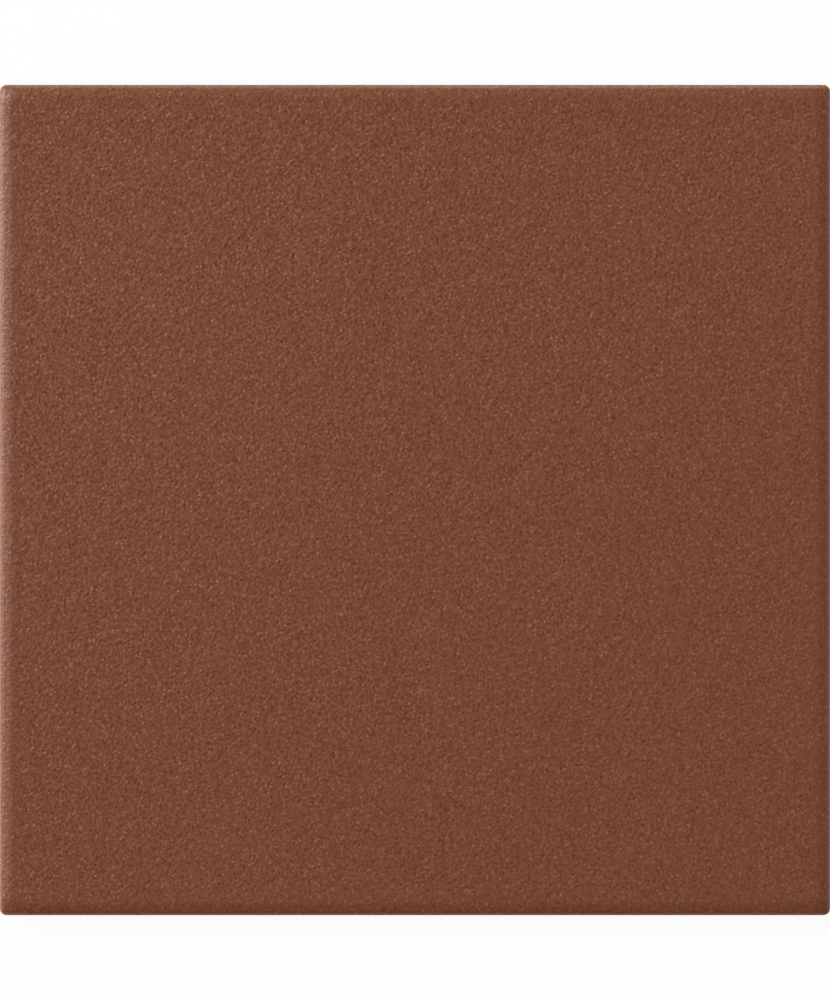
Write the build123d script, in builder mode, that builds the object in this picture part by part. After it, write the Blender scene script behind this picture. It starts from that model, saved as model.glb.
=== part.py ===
"""A square, unglazed, dry-pressed stoneware floor tile, modelled as it is pressed and fired: one solid.

It lies face up. The origin is the middle of the back, on the plane of the ribs, with +Z up through the tile
and X and Y along its sides. Lengths are millimetres and angles are degrees.
"""

import os
from math import radians, tan

from build123d import *

# Overall size: the work size of a 200 mm module laid with a 2 mm joint
side = 198.0
thickness = 10.0
corner_radius = 1.6  # upright corners, seen from above

# Pillowed rim of the face: a wide round runs from the flat into a low slope, which ends in a rounded arris
slope_width = 2.6  # from the side to where the plane of the slope would meet the flat
slope_angle = 13.0
slope_corner_radius = 2.0  # corners of that meeting line, seen from above
slope_round = 6.5
arris_radius = 1.5
arris_share = 0.95  # most of the upright corner's radius that the arris may take

# Foot: the sides are eased where they meet the back
foot_chamfer = 0.5

# Mortar key on the back: square pockets between crossing ribs, with drafted walls that let go of the press
pockets_per_side = 6  # even, so that two ribs cross at the origin
pocket_depth = 0.8
pocket_corner_radius = 2.0
pocket_draft = 30.0
rib = 5.0
border = 8.5  # plain margin round the pockets

# What follows from those
pocket_pitch = (side - 2 * border + rib) / pockets_per_side
pocket = pocket_pitch - rib  # at the mouth
flat_side = side - 2 * slope_width
slope_run = thickness / tan(radians(slope_angle))  # level distance in which the slope falls by the thickness
run_out_side = flat_side + 2 * slope_run
arris = min(arris_radius, arris_share * corner_radius)

with BuildPart() as tile:
    # Pressed block with upright rounded corners
    with BuildSketch() as outline:
        RectangleRounded(side, side, corner_radius)
    extrude(amount=thickness)

    # Ease the foot while the back is still plain
    back = tile.faces().sort_by(Axis.Z).first
    chamfer(back.edges(), length=foot_chamfer)

    # Slope the rim: the tile keeps what lies inside a wide low pyramid with rounded corners
    with BuildSketch(Plane.XY.offset(thickness)) as flat:
        RectangleRounded(flat_side, flat_side, slope_corner_radius)
    with BuildSketch() as run_out:
        RectangleRounded(run_out_side, run_out_side, slope_corner_radius + slope_run)
    loft(ruled=True, mode=Mode.INTERSECT)

    # Round the flat into the slope
    face = tile.faces().sort_by(Axis.Z).last
    fillet(face.edges(), radius=slope_round)

    # Round the arris: it starts at the straight sides and runs on round the corners
    sides = tile.faces().filter_by(Axis.X) + tile.faces().filter_by(Axis.Y)
    fillet([wall.edges().sort_by(Axis.Z).last for wall in sides], radius=arris)

    # Press the key pockets into the back
    with BuildSketch() as key:
        with GridLocations(pocket_pitch, pocket_pitch, pockets_per_side, pockets_per_side):
            RectangleRounded(pocket, pocket, pocket_corner_radius)
    extrude(amount=pocket_depth, taper=pocket_draft, mode=Mode.SUBTRACT)

tile.part.label = "tile"

os.makedirs("parts", exist_ok=True)
export_step(tile.part, "parts/tile.step")
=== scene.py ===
"""Looks of the stoneware tile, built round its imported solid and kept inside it.

Lengths are millimetres, apart from those of the floor and the lamps, which are the frame's metres.
"""

from math import cos, pi, radians, sin, tan

import bpy
import numpy as np
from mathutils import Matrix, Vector


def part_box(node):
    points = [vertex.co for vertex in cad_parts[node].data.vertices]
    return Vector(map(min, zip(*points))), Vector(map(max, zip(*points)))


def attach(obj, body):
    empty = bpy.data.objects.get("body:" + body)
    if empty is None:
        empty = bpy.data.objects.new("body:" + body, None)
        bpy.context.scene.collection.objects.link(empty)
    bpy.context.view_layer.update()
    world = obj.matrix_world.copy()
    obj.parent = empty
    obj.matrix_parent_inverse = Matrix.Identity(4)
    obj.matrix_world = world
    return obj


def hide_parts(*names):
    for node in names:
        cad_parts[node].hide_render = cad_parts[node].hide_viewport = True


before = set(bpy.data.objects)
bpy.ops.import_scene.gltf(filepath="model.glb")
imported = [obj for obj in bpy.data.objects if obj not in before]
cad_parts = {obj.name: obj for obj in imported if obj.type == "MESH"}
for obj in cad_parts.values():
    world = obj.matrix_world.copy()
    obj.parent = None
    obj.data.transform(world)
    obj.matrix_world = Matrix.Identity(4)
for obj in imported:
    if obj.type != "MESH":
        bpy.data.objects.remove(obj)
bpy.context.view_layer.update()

MM = 0.001
NODE = "tile"
lowest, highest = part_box(NODE)
SIDE = (highest.x - lowest.x) / MM
THICKNESS = (highest.z - lowest.z) / MM

# Rim, foot and back, as the solid has them
CORNER_RADIUS = 1.6
SLOPE_WIDTH = 2.6
SLOPE_ANGLE = radians(13.0)
SLOPE_CORNER_RADIUS = 2.0
SLOPE_ROUND = 6.5
ARRIS_RADIUS = 1.5
FOOT_CHAMFER = 0.5
POCKETS_PER_SIDE = 6
POCKET_DEPTH = 0.8
POCKET_CORNER_RADIUS = 2.0
POCKET_DRAFT = radians(30.0)
RIB = 5.0
BORDER = 8.5
POCKET_PITCH = (SIDE - 2 * BORDER + RIB) / POCKETS_PER_SIDE

# Section of a pocket's wall, inwards and upwards: its eased edge, then the wall and its foot as shares of
# the wall's own lean and height
POCKET_EDGE = ((-0.20, 0.0), (-0.04, 0.03))
POCKET_WALL = ((0.25, 0.25), (0.8, 0.8), (1.05, 0.96), (1.4, 1.0))

# How finely the surface is divided
CORNER_STEPS = 3  # steps in half of a rounded corner
BACK_STEPS = 11  # steps along one side of a pocket's cell
FINE_PER_BACK = 4  # steps of the face and sides to one step of the back
FACE_STEPS = POCKETS_PER_SIDE * BACK_STEPS * FINE_PER_BACK
EDGE_STEPS = 12  # closer steps at each end of a side
EDGE_BAND = 4.5  # length that they cover
ARRIS_STEPS = 7
WALL_STEPS = 4
WELD = 1e-5  # points nearer than this are one
CREASE = radians(40)  # edges that turn by more than this are sharp

# Where the surface lies on its square map: the face in one corner, the sides in rows, the quarters of the
# back in a column
MAP_FACE = 0.79
MAP_GAP = 0.006
MAP_ROW = 0.0415
MAP_QUARTER = 0.186

# Pressed grain of the face: a sum of level waves in all directions
GRAIN_SEED = 41
GRAIN_WAVES = 700
GRAIN_LENGTHS = (2.0, 4.5)  # shortest and longest wave
GRAIN_DEPTH = 0.006  # standard deviation
GRAIN_REACH = 2.6  # crest of the highest grain, in standard deviations
# The lean also strengthens the colour's grain towards the left far corner: painted light and shade, stronger
# towards the lamps
GRAIN_LEAN = 0.24  # how much deeper the grain is at the left far corner than in the middle

# Colours of the fired body, linear
BODY_DARK = (0.128, 0.0232, 0.0, 1)
BODY_LIGHT = (0.235, 0.0874, 0.0457, 1)
PALE_GRIT = (0.50, 0.26, 0.17, 1)
KILN_DUST = (0.47, 0.36, 0.29, 1)
# Painted sheen: the outer edge of the arris is painted paler all round, in place of its highlight
PAINTED_EDGE_SHEEN = (0.63, 0.31, 0.205, 1)

# Tone of the body, from dark at 0 to light at 1: a fine mottle, specks and faint clouds about a middle
MIDDLE_TONE = 0.44
MOTTLE_SIZE = 0.68
MOTTLE_TONE = 1.09
SPECK_SIZE = 0.84
SPECK_ROUND = (0.05, 0.55)  # a speck fades out between these distances from its middle, in sizes
SPECK_TONE = 1.12
PALE_SPECK = 0.75
PALE_CHANCE = (0.5, 1.0)  # chance numbers between which specks turn pale
DARK_SPECK = 0.5
DARK_CHANCE = (0.0, 0.4)  # chance numbers between which they stop being dark
CLOUD_SIZE = 45.0
CLOUD_TONE = 0.05

# What lies on the body, and the painted sheen of the arris's outer edge: how much of it shows, and how much
# more or less of it in the mottle
GRIT_SIZE = 1.5
GRIT_ROUND = (0.08, 0.26)
GRIT_CHANCE = (0.4, 1.0)
GRIT_COVER = 0.34
DUST_SIZE = 9.0
DUST_EDGE = (-0.12, 0.25)  # noise between which a dusty patch fades in
DUST_COVER = 0.22
DUST_MOTTLE = 0.6
# Painted sheen on the outer edge of the arris: how much shows, and how much more or less in the mottle
EDGE_SHEEN_COVER = 0.17
EDGE_SHEEN_MOTTLE = 0.3

# Fine relief: its depth, and the shares of the lumps, the specks and the drag marks in it
RELIEF_DEPTH = 0.158
LUMP_SIZE = 0.80
LUMP_SHARE = 0.7
SPECK_SHARE = 0.5
DRAG_SIZE = 0.55
DRAG_SQUEEZE = 0.08
DRAG_SHARE = 0.35

# Strength of the grain on the rim, against 1 on the face, and what the sides add to it
RIM_GRAIN = 0.72
SIDE_CONTRAST = 0.15
SIDE_RELIEF = -0.45

# Roughness, and what changes it
DULLNESS = 0.45
MOTTLE_SHEEN = 0.1
ARRIS_SHEEN = 0.03
SIDE_DULLNESS = 0.1
EDGE_DULLNESS = 0.2

# Where the finish changes: between which distances in from the side, down from the face or up from the ribs
FACE_FROM_SIDE = (2.5, 7.0)
ARRIS_FROM_SIDE = (1.0, 2.0)
WALL_SKIN = (0.1, 0.4)
WALL_BELOW_FACE = (1.4, 2.4)
DULL_SHEEN_SKIN = (0.2, 0.6)
DULL_SHEEN_BELOW_FACE = (1.8, 3.0)
RIB_FROM_SIDE = (0.5, 1.5)
RIB_SKIN = (0.05, 0.3)

# How patterns are turned and shifted off the tile's own axes, and the stride from one to the next
PATTERN_TURN = (0.6, 0.35, 0.8)
PATTERN_SHIFT = (7.3, 3.1, 5.7)
PATTERN_STRIDE = 11.0


# Surfaces

def stations(core, steps):
    """Places along the straight part of a side: close in a band at each end, even between the bands."""
    inner = core - EDGE_BAND
    band = np.linspace(inner, core, EDGE_STEPS + 1)
    even = np.linspace(-inner, inner, steps - 2 * EDGE_STEPS + 1)
    return np.concatenate([-band[:0:-1], even, band[1:]])


def rounded_path(half, radius, steps, placed=None):
    """The way round a square with rounded corners, anticlockwise from the middle of the near left corner.

    Each side has the same number of steps: half a corner, the straight, half a corner. A point is a core
    point plus a distance times an outward direction. The core runs on the square without its corner radius
    and stands still at its corners, where the direction turns in equal angles. The other sides are the near
    one turned by quarters. The straight's points are even, or as a function places them.
    """
    core = half - radius
    straight = steps - 2 * CORNER_STEPS
    turn = np.linspace(-0.25, 0.0, CORNER_STEPS + 1) * pi
    middle = np.linspace(-core, core, straight + 1) if placed is None else placed(core, straight)
    along = np.concatenate([np.full(CORNER_STEPS, -core), middle, np.full(CORNER_STEPS - 1, core)])
    angle = np.concatenate([turn[:-1], np.zeros(straight + 1), -turn[1:-1][::-1]]) - pi / 2
    near_core = along - 1j * core
    near_out = np.exp(1j * angle)
    quarters = 1j ** np.arange(4)[:, None]
    return (quarters * near_core).ravel(), (quarters * near_out).ravel()


def square_path(half, steps):
    """The way round a square in even steps, anticlockwise from its near left corner."""
    near = np.linspace(-half, half, steps + 1)[:-1] - 1j * half
    return (1j ** np.arange(4)[:, None] * near).ravel()


def strip(rings):
    """Quads between neighbouring closed rings, whose points are numbered ring after ring."""
    count, around = rings
    here = np.arange(around)
    there = np.roll(here, -1)
    first = np.arange(count - 1)[:, None] * around
    second = first + around
    return np.stack([first + here, second + here, second + there, first + there], -1).reshape(-1, 4)


def face_drop(x, y):
    """How far the pillowed face lies below its flat.

    The distance beyond a square with rounded corners, where the plane of the slope would meet the flat, goes
    through a round of its own radius: level before it, a circular arc in it, and the slope's tangent times
    the rest after it.
    """
    core = SIDE / 2 - SLOPE_WIDTH - SLOPE_CORNER_RADIUS
    qx, qy = np.abs(x) - core, np.abs(y) - core
    outside = np.hypot(np.maximum(qx, 0), np.maximum(qy, 0)) + np.minimum(np.maximum(qx, qy), 0)
    beyond = outside - SLOPE_CORNER_RADIUS + SLOPE_ROUND * tan(SLOPE_ANGLE / 2)
    in_round = np.clip(beyond, 0, SLOPE_ROUND * sin(SLOPE_ANGLE))
    round_drop = SLOPE_ROUND - np.sqrt(SLOPE_ROUND ** 2 - in_round ** 2)
    return round_drop + (beyond - in_round).clip(0) * tan(SLOPE_ANGLE)


def grain_depth(x, y):
    """Depth of the pressed grain under its highest crest.

    Cosine waves of random direction, phase and length, each with a height in proportion to its length, add
    up to a field that is scaled to unit deviation. Crests above the reach are pressed flat, and so are
    hollows as deep below. The grain is a little deeper towards the left far corner.
    """
    rng = np.random.default_rng(GRAIN_SEED)
    direction = rng.uniform(0, 2 * pi, GRAIN_WAVES)
    phase = rng.uniform(0, 2 * pi, GRAIN_WAVES)
    shortest, longest = GRAIN_LENGTHS
    lengths = 1 / np.sqrt(rng.uniform(longest ** -2, shortest ** -2, GRAIN_WAVES))
    field = np.zeros(x.shape)
    for turn, shift, length in zip(direction, phase, lengths):
        field += length * np.cos(2 * pi / length * (x * cos(turn) + y * sin(turn)) + shift)
    field /= np.sqrt((lengths ** 2).sum() / 2)
    lean = 1 + GRAIN_LEAN * (y - x) / SIDE
    return GRAIN_DEPTH * lean * (GRAIN_REACH - np.clip(field, -GRAIN_REACH, GRAIN_REACH))


def face_grid(inset):
    """The face as a square grid of lines, drawn in to the rim's rounded outline.

    The lines follow the stations of the straight sides and run in steps of equal angle in the corners. There
    a square of side one is drawn in to a quarter disc: each point keeps its direction, and its larger
    coordinate becomes its radius. The height is the thickness less the drop of the pillow and the depth of
    the grain. On the map the face is seen from above.
    """
    core, radius = SIDE / 2 - CORNER_RADIUS, CORNER_RADIUS - inset
    corner = core + radius * np.tan(np.linspace(0, 0.25, CORNER_STEPS + 1) * pi)
    straight = stations(core, FACE_STEPS - 2 * CORNER_STEPS)[1:-1]
    line = np.concatenate([-corner[::-1], straight, corner])
    x, y = np.meshgrid(line, line, indexing="ij")
    dx, dy = (np.abs(x) - core).clip(0), (np.abs(y) - core).clip(0)
    both = (dx > 0) & (dy > 0)
    drawn = np.where(both, np.maximum(dx, dy) / np.where(both, np.hypot(dx, dy), 1), 1)
    x = np.where(both, np.sign(x) * (core + dx * drawn), x)
    y = np.where(both, np.sign(y) * (core + dy * drawn), y)
    z = THICKNESS - face_drop(x, y) - grain_depth(x, y)
    points = np.stack([x, y, z], -1).reshape(-1, 3)
    index = np.arange(line.size ** 2).reshape(line.size, line.size)
    quads = np.stack([index[:-1, :-1], index[1:, :-1], index[1:, 1:], index[:-1, 1:]], -1).reshape(-1, 4)
    on_map = MAP_GAP + (points[:, :2] / SIDE + 0.5) * MAP_FACE
    return points, quads, on_map[quads]


def rim_and_wall(inset):
    """The arris, the wall and the eased foot as rings round the tile.

    The arris is a circular arc that starts on the slope, at the slope's own angle, and ends upright on the
    wall. The grain fades out along it. The wall goes down in even steps to the foot, and the last ring is
    the foot's chamfer. On the map each side is a row of its own, with the way along the side across it and
    the way down up it.
    """
    core, out = rounded_path(SIDE / 2, CORNER_RADIUS, FACE_STEPS, stations)
    start = core + out * (CORNER_RADIUS - inset)
    top = THICKNESS - face_drop(start.real, start.imag)
    turned = np.linspace(SLOPE_ANGLE, pi / 2, ARRIS_STEPS + 1)[:, None]
    fade = np.linspace(1, 0, ARRIS_STEPS + 1)[:, None]
    arris_in = ARRIS_RADIUS * (1 - np.sin(turned)) + 0 * top
    arris_drop = ARRIS_RADIUS * (cos(SLOPE_ANGLE) - np.cos(turned))
    arris_z = top - arris_drop - fade * grain_depth(start.real, start.imag)
    down = np.linspace(0, 1, WALL_STEPS + 1)[1:, None]
    wall_z = arris_z[-1] + down * (FOOT_CHAMFER - arris_z[-1])
    foot = np.full((1, top.size), FOOT_CHAMFER)
    inward = np.concatenate([arris_in, 0 * wall_z, foot])
    z = np.concatenate([arris_z, wall_z, 0 * foot])
    place = core + out * (CORNER_RADIUS - inward)
    quads = strip(z.shape)

    way_down = np.hypot(np.diff(inward.mean(1)), np.diff(z.mean(1)))
    way_down = np.append(0, np.cumsum(way_down)) / way_down.sum() * MAP_ROW
    step = np.tile(np.arange(top.size), len(z) - 1)
    ring = np.repeat(np.arange(len(z) - 1), top.size)
    side, along = np.divmod(step, FACE_STEPS)
    row = MAP_FACE + 2 * MAP_GAP + side[:, None] * (MAP_ROW + MAP_GAP)
    u = MAP_GAP + (along[:, None] + [0, 0, 1, 1]) / FACE_STEPS * MAP_FACE
    v = row + way_down[ring[:, None] + [0, 1, 1, 0]]
    return np.stack([place.real, place.imag, z], -1).reshape(-1, 3), quads, np.stack([u, v], -1)


def back_map(points, polygons):
    """Map places of the back, seen from below: each polygon goes to the quarter that its middle is in."""
    corners = points[polygons][..., :2] * (-1, 1)
    middle = corners.mean(1, keepdims=True)
    quarter = (middle[..., :1] > 0) + 2 * (middle[..., 1:] > 0)
    within = (corners - np.where(middle > 0, 0, -SIDE / 2)) / (SIDE / 2) * MAP_QUARTER
    first = np.array([MAP_FACE + 2 * MAP_GAP, MAP_GAP])
    return first + within + quarter * (MAP_QUARTER + MAP_GAP) * np.array([0, 1])


def back_margin():
    """The plain margin of the back, from the foot's chamfer in to the outer edge of the pockets' cells.

    Each step of the cells' edge meets several steps of the foot, with triangles fanned between them.
    """
    core, out = rounded_path(SIDE / 2, CORNER_RADIUS, FACE_STEPS, stations)
    foot = core + out * (CORNER_RADIUS - FOOT_CHAMFER)
    edge = square_path(POCKET_PITCH * POCKETS_PER_SIDE / 2, POCKETS_PER_SIDE * BACK_STEPS)
    place = np.concatenate([foot, edge])
    here = foot.size + np.arange(edge.size)
    there = foot.size + (np.arange(edge.size) + 1) % edge.size
    fine = [(np.arange(edge.size) * FINE_PER_BACK + step) % foot.size for step in range(FINE_PER_BACK + 1)]
    middle = FINE_PER_BACK // 2
    fans = [(fine[k], here if k < middle else there, fine[k + 1]) for k in range(FINE_PER_BACK)]
    fans.append((fine[middle], here, there))
    triangles = np.concatenate([np.stack(fan, -1) for fan in fans])
    return np.stack([place.real, place.imag, 0 * place.real], -1), triangles


def back_cells():
    """The keyed back: the same pocket in every cell of a square grid.

    A cell is a run of rings from its square edge on the ribs in to the pocket's middle. The pocket's wall
    leans in by its draft and is eased where it meets the rib and the floor. The rings are copied to every
    cell at once.
    """
    half = (POCKET_PITCH - RIB) / 2
    lean = POCKET_DEPTH * tan(POCKET_DRAFT)
    profile = np.concatenate([POCKET_EDGE, np.multiply(POCKET_WALL, (lean, POCKET_DEPTH))])
    core, out = rounded_path(half, POCKET_CORNER_RADIUS, BACK_STEPS)
    rings = core + out * (POCKET_CORNER_RADIUS - profile[:, :1])
    rings = np.concatenate([square_path(POCKET_PITCH / 2, BACK_STEPS)[None], rings, rings[-1:] / 2])
    height = np.concatenate([[0.0], profile[:, 1], [POCKET_DEPTH]])
    around = rings.shape[1]
    cell = np.append(rings.ravel(), 0.0)
    cell_z = np.append(np.repeat(height, around), POCKET_DEPTH)
    quads = strip(rings.shape)
    last = np.arange(around) + (len(rings) - 1) * around
    triangles = np.stack([last, np.full(around, cell.size - 1), np.roll(last, -1)], -1)
    middles = (np.arange(POCKETS_PER_SIDE) - (POCKETS_PER_SIDE - 1) / 2) * POCKET_PITCH
    centre = (middles[:, None] + 1j * middles).reshape(-1, 1)
    place = centre + cell
    points = np.stack([place.real, place.imag, np.broadcast_to(cell_z, place.shape)], -1).reshape(-1, 3)
    first = (np.arange(centre.size) * cell.size)[:, None, None]
    return points, (first + quads).reshape(-1, 4), (first + triangles).reshape(-1, 3)


def tile_mesh():
    """The whole tile as one closed skin: face, rim, wall, foot and back, welded where their edges meet."""
    inset = ARRIS_RADIUS * (1 - sin(SLOPE_ANGLE))
    face, face_quads, face_map = face_grid(inset)
    rim, rim_quads, rim_map = rim_and_wall(inset)
    margin, margin_triangles = back_margin()
    cells, cell_quads, cell_triangles = back_cells()
    parts = [face, rim, margin, cells]
    first = np.cumsum([0] + [len(part) for part in parts])
    points = np.concatenate(parts)
    quads = np.concatenate([face_quads, rim_quads + first[1], cell_quads + first[3]])
    triangles = np.concatenate([margin_triangles + first[2], cell_triangles + first[3]])
    on_map = np.concatenate([corners.reshape(-1, 2) for corners in (
        face_map, rim_map, back_map(cells, cell_quads), back_map(margin, margin_triangles),
        back_map(cells, cell_triangles))])
    steps = np.round(points / WELD).astype(np.int64)
    _, kept, same = np.unique(steps, axis=0, return_index=True, return_inverse=True)
    same = same.reshape(-1)
    mesh = bpy.data.meshes.new("stoneware_tile")
    mesh.from_pydata((points[kept] * MM).tolist(), [], same[quads].tolist() + same[triangles].tolist())
    mesh.uv_layers.new(name="OFBake").data.foreach_set("uv", on_map.ravel())
    mesh.shade_smooth()
    mesh.set_sharp_from_angle(angle=CREASE)
    return mesh


# Materials

class Wire:
    """A socket that a material is wired from: arithmetic on it adds Math or Vector Math nodes."""

    def __init__(self, socket):
        self.socket = socket
        self.tree = socket.id_data

    def node(self, kind, settings=None, sockets=None, output=0):
        """Adds a node of a kind, sets it, then its sockets' values or wires, and gives one of its outputs."""
        made = self.tree.nodes.new(kind)
        for name, value in (settings or {}).items():
            setattr(made, name, value)
        for name, value in (sockets or {}).items():
            if isinstance(value, Wire):
                self.tree.links.new(value.socket, made.inputs[name])
            else:
                made.inputs[name].default_value = value
        return Wire(made.outputs[output])

    def is_vector(self):
        return self.socket.type in ("VECTOR", "RGBA")

    def maths(self, operation, *terms):
        """One operation on wires and numbers, as a Vector Math node where a wire is a vector."""
        vector = any(isinstance(term, Wire) and term.is_vector() for term in terms)
        if vector:
            terms = [(term,) * 3 if isinstance(term, (int, float)) else term for term in terms]
        kind = "ShaderNodeVectorMath" if vector else "ShaderNodeMath"
        return self.node(kind, {"operation": operation}, dict(enumerate(terms)))

    def __add__(self, other):
        return self.maths("ADD", self, other)

    def __sub__(self, other):
        return self.maths("SUBTRACT", self, other)

    def __rsub__(self, other):
        return self.maths("SUBTRACT", other, self)

    def __mul__(self, other):
        return self.maths("MULTIPLY", self, other)

    __radd__ = __add__
    __rmul__ = __mul__

    def fade(self, start, end):
        """A smooth step from 0 at the start to 1 at the end."""
        return self.node("ShaderNodeMapRange", {"interpolation_type": "SMOOTHSTEP"},
                         {"Value": self, "From Min": start, "From Max": end})

    def mixed(self, first, second):
        """The first colour where this is 0 and the second where it is 1."""
        colours = {"Factor": self, 6: first, 7: second}
        return self.node("ShaderNodeMix", {"data_type": "RGBA"}, colours, output=2)

    def part(self, axis):
        """One coordinate of a vector."""
        return self.node("ShaderNodeSeparateXYZ", None, {0: self}, output=axis)

    def turned(self, by):
        """The place in a pattern that is turned and shifted off the tile's own axes."""
        (roll, pitch, yaw), (x, y, z) = PATTERN_TURN, PATTERN_SHIFT
        return self.node("ShaderNodeMapping", None, {
            "Vector": self, "Rotation": (roll + by, pitch, yaw - by),
            "Location": (x + PATTERN_STRIDE * by, y, z)})

    def squeezed(self, upright):
        """The place in a pattern whose lumps are drawn out along the tile's thickness."""
        return self.node("ShaderNodeMapping", None, {"Vector": self, "Scale": (1, 1, upright)})

    def noise(self, size, detail=0.0, roughness=0.5, turned=0.0):
        """Smooth noise about zero, with lumps of a size."""
        made = self.node("ShaderNodeTexNoise", None, {
            "Vector": self.turned(turned), "Scale": 1 / size, "Detail": detail, "Roughness": roughness})
        return made - 0.5

    def grains(self, size, turned=0.0):
        """Grains of a size: how far the nearest one's middle is, in sizes, and a chance number of its own."""
        apart = self.node("ShaderNodeTexVoronoi", {"feature": "F1"},
                          {"Vector": self.turned(turned), "Scale": 1 / size}, output="Distance")
        own = Wire(apart.socket.node.outputs["Color"])
        chance = self.node("ShaderNodeTexWhiteNoise", {"noise_dimensions": "3D"}, {"Vector": own},
                           output="Value")
        return apart, chance


def new_material(name):
    """An empty material, its output's surface socket and a wire of object coordinates in millimetres."""
    material = bpy.data.materials.new(name)
    material.use_nodes = True
    tree = material.node_tree
    tree.nodes.clear()
    surface = tree.nodes.new("ShaderNodeOutputMaterial").inputs["Surface"]
    place = Wire(tree.nodes.new("ShaderNodeTexCoord").outputs["Object"]) * (1 / MM)
    return material, surface, place


def grey(level):
    """A neutral colour."""
    return level, level, level, 1


def finish_zones(place):
    """Where the finish changes, each from 0 to 1: on the face, arris, side walls, dull outer edge with
    painted sheen, and ribs.

    The distance in from the side is half the side less the larger of the two level coordinates. The skin of
    the walls and of the outer edge follows the rounded corners too: it is the corner's radius less the level
    distance from the square without that radius.
    """
    x, y, z = (place.part(axis) for axis in range(3))
    from_side = SIDE / 2 - x.maths("MAXIMUM", x.maths("ABSOLUTE", x), y.maths("ABSOLUTE", y))
    below_face = THICKNESS - z
    core = SIDE / 2 - CORNER_RADIUS
    beyond = place.maths("ABSOLUTE", place) - (core, core, THICKNESS)
    beyond = beyond.maths("MAXIMUM", beyond, 0.0)
    from_core = beyond.node("ShaderNodeVectorMath", {"operation": "LENGTH"}, {0: beyond}, output="Value")
    skin = CORNER_RADIUS - from_core
    on_face = from_side.fade(*FACE_FROM_SIDE)
    on_arris = 1 - from_side.fade(*ARRIS_FROM_SIDE)
    on_wall = (1 - skin.fade(*WALL_SKIN)) * below_face.fade(*WALL_BELOW_FACE)
    # Outer edge of the arris: duller, and painted paler as a sheen
    painted_sheen_dull_edge = (1 - skin.fade(*DULL_SHEEN_SKIN)) * (1 - below_face.fade(*DULL_SHEEN_BELOW_FACE))
    on_rib = (1 - z.fade(*RIB_SKIN)) * from_side.fade(*RIB_FROM_SIDE)
    return on_face, on_arris, on_wall, painted_sheen_dull_edge, on_rib


def stoneware():
    """Unglazed red-brown stoneware: granular body, pale grit, fine relief and a dull sheen.

    The grain is a little calmer on the rim. The outer edge of the arris is duller, and its colour is painted
    paler as a sheen. The sides have upright drag marks of the mould, and the ribs of the back a trace of kiln
    dust. Each pattern is turned by an amount of its own, so that no two line up.
    """
    material, surface, place = new_material("red_brown_stoneware")
    on_face, on_arris, on_wall, painted_sheen_dull_edge, on_rib = finish_zones(place)
    # Deeper relief towards the left far corner, and there too a stronger colour grain: painted light and
    # shade, stronger towards the lamps
    lean = 1 + (place.part(1) - place.part(0)) * (GRAIN_LEAN / SIDE)
    strength = RIM_GRAIN + on_face * (1 - RIM_GRAIN)
    contrast = lean * (strength + on_wall * SIDE_CONTRAST)

    mottle = place.noise(MOTTLE_SIZE, detail=1.0, roughness=0.4)
    cloud = place.noise(CLOUD_SIZE, detail=2.0, turned=2.3)
    from_speck, chance = place.grains(SPECK_SIZE, turned=0.4)
    pale_or_dark = chance.fade(*PALE_CHANCE) * PALE_SPECK - (1 - chance.fade(*DARK_CHANCE)) * DARK_SPECK
    speck = (1 - from_speck.fade(*SPECK_ROUND)) * pale_or_dark
    grain = (mottle * MOTTLE_TONE + speck * SPECK_TONE) * contrast
    tone = MIDDLE_TONE + grain + cloud * CLOUD_TONE
    body = tone.fade(0.0, 1.0).mixed(BODY_DARK, BODY_LIGHT)

    from_grit, grit_chance = place.grains(GRIT_SIZE, turned=1.7)
    grit = (1 - from_grit.fade(*GRIT_ROUND)) * grit_chance.fade(*GRIT_CHANCE) * contrast
    gritty = (grit * GRIT_COVER).mixed(body, PALE_GRIT)
    patch = place.noise(DUST_SIZE, detail=3.0, roughness=0.6, turned=0.9).fade(*DUST_EDGE)
    dusted = (patch * on_rib * (DUST_COVER + mottle * DUST_MOTTLE)).mixed(gritty, KILN_DUST)
    # Painted sheen: the outer edge of the arris is mixed towards a paler colour
    colour = (painted_sheen_dull_edge * (EDGE_SHEEN_COVER + mottle * EDGE_SHEEN_MOTTLE)).mixed(dusted, PAINTED_EDGE_SHEEN)

    lumps = place.noise(LUMP_SIZE, detail=1.0, roughness=0.45, turned=3.2)
    drag = place.squeezed(DRAG_SQUEEZE).noise(DRAG_SIZE, detail=2.0) * on_wall
    relief = (lumps * LUMP_SHARE + speck * SPECK_SHARE) * lean * (strength + on_wall * SIDE_RELIEF)
    bump = place.node("ShaderNodeBump", None, {
        "Strength": 1.0, "Distance": RELIEF_DEPTH * MM, "Height": relief + drag * DRAG_SHARE})
    sheen = mottle * MOTTLE_SHEEN + on_arris * ARRIS_SHEEN
    roughness = DULLNESS - sheen + on_wall * SIDE_DULLNESS + painted_sheen_dull_edge * EDGE_DULLNESS
    finish = place.node("ShaderNodeBsdfPrincipled", None, {
        "Base Color": colour, "Roughness": roughness, "Normal": bump})
    material.node_tree.links.new(finish.socket, surface)
    return material


FLOOR_PAINT = 0.9
FLOOR_GLOW = 0.95  # share of pure white in the floor as it is seen or mirrored


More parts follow.
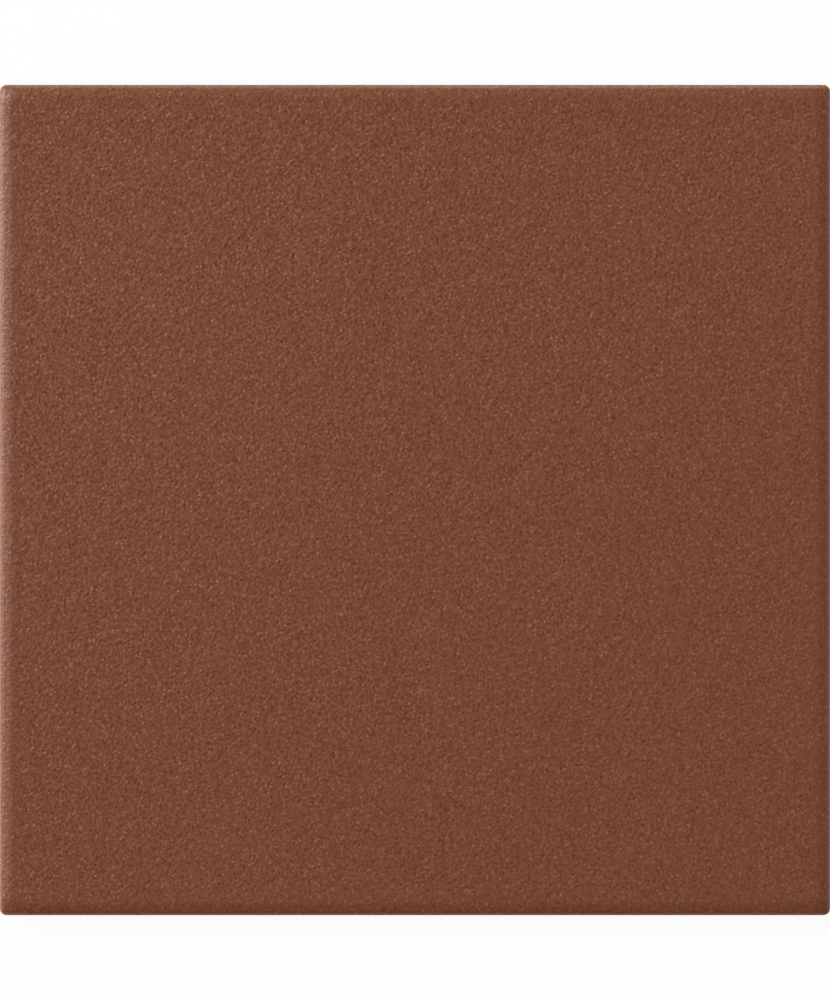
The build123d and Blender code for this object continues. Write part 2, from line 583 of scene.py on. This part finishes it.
def floor_paint():
    """Plain white floor: seen and mirrored nearly as pure white, with a pale trace of the shadow."""
    material, surface, place = new_material("white_floor")
    ray = "ShaderNodeLightPath"
    seen = place.node(ray, output="Is Camera Ray")
    seen = seen.maths("MAXIMUM", seen, place.node(ray, output="Is Glossy Ray"))
    seen = seen.maths("MAXIMUM", seen, place.node(ray, output="Is Transmission Ray"))
    paint = place.node("ShaderNodeBsdfDiffuse", None, {"Color": grey(FLOOR_PAINT)})
    white = place.node("ShaderNodeEmission", None, {"Color": grey(1), "Strength": 1.0})
    both = place.node("ShaderNodeMixShader", None, {0: seen * FLOOR_GLOW, 1: paint, 2: white})
    material.node_tree.links.new(both.socket, surface)
    return material


# The tile

tile = bpy.data.objects.new("stoneware_tile", tile_mesh())
tile.data.materials.append(stoneware())
bpy.context.collection.objects.link(tile)
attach(tile, "root")
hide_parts(NODE)

# Floor

FLOOR_HALF = 5.0
FLOOR_DROP = 0.05 * MM
floor_mesh = bpy.data.meshes.new("floor")
floor_corners = [(-1, -1), (1, -1), (1, 1), (-1, 1)]
floor_points = [(x * FLOOR_HALF, y * FLOOR_HALF, -FLOOR_DROP) for x, y in floor_corners]
floor_mesh.from_pydata(floor_points, [], [(0, 1, 2, 3)])
floor = bpy.data.objects.new("floor", floor_mesh)
floor_mesh.materials.append(floor_paint())
bpy.context.collection.objects.link(floor)


# Light: a soft key from the left far side, low and faintly warm lamps at the left and far side, a weak fill
# at the right, and a room that is darker overhead

def lamp(name, azimuth, elevation, distance, size, share, tint=(1, 1, 1)):
    """A round soft lamp that faces the tile, white or faintly tinted.

    Its power gives the level face this share of the light under which a colour shows as written: a lamp of
    power P at distance d lights a surface square to it with P / (pi d^2), and that light is pi for such a
    share of one.
    """
    turn, rise = radians(azimuth), radians(elevation)
    towards = Vector((cos(rise) * cos(turn), cos(rise) * sin(turn), sin(rise)))
    light = bpy.data.lights.new(name, "AREA")
    light.shape = "DISK"
    light.size = size
    light.color = tint
    light.energy = share * pi ** 2 * distance ** 2 / sin(rise)
    made = bpy.data.objects.new(name, light)
    made.location = towards * distance
    made.rotation_mode = "QUATERNION"
    made.rotation_quaternion = (-towards).to_track_quat("-Z", "Y")
    bpy.context.collection.objects.link(made)


lamp("key", azimuth=150, elevation=45, distance=9.0, size=3.5, share=0.585)
lamp("left_lamp", azimuth=168, elevation=16, distance=0.9, size=0.4, share=0.14, tint=(1, 0.97, 0.87))
lamp("far_lamp", azimuth=84, elevation=20, distance=1.8, size=0.8, share=0.095, tint=(1, 0.94, 0.84))
lamp("right_fill", azimuth=0, elevation=25, distance=0.9, size=0.8, share=0.06)

ROOM_LEVEL = 0.5
OVERHEAD_LEVEL = 0.1
OVERHEAD_RISE = (0.05, 0.6)  # upward part of a direction between which the room darkens
world = bpy.data.worlds.new("room")
bpy.context.scene.world = world
world.use_nodes = True
world.node_tree.nodes.clear()
room_out = world.node_tree.nodes.new("ShaderNodeOutputWorld").inputs["Surface"]
looking = Wire(world.node_tree.nodes.new("ShaderNodeTexCoord").outputs["Generated"])
overhead = looking.part(2).fade(*OVERHEAD_RISE)
room_colour = overhead.mixed(grey(ROOM_LEVEL), grey(OVERHEAD_LEVEL))
room = looking.node("ShaderNodeBackground", None, {"Color": room_colour})
world.node_tree.links.new(room.socket, room_out)

# Camera: straight above the tile, whose sides touch the sides of the picture

PICTURE = (830, 1000)
SENSOR = 36.0  # spans the picture's longer side
CAMERA_HEIGHT = 3000.0  # above the rim
RIM_HEIGHT = 8.2  # where the tile is widest seen from above
EDGE_TRIM = 0.05  # of the tile, at each side of the picture
VIEW_WIDTH = SIDE - 2 * EDGE_TRIM
lens = bpy.data.cameras.new("camera")
lens.sensor_width = SENSOR
lens.lens = SENSOR * CAMERA_HEIGHT / (VIEW_WIDTH * PICTURE[1] / PICTURE[0])
camera = bpy.data.objects.new("camera", lens)
camera.location = (0, 0, (RIM_HEIGHT + CAMERA_HEIGHT) * MM)
bpy.context.collection.objects.link(camera)
bpy.context.scene.camera = camera
bpy.context.scene.view_settings.view_transform = "Standard"
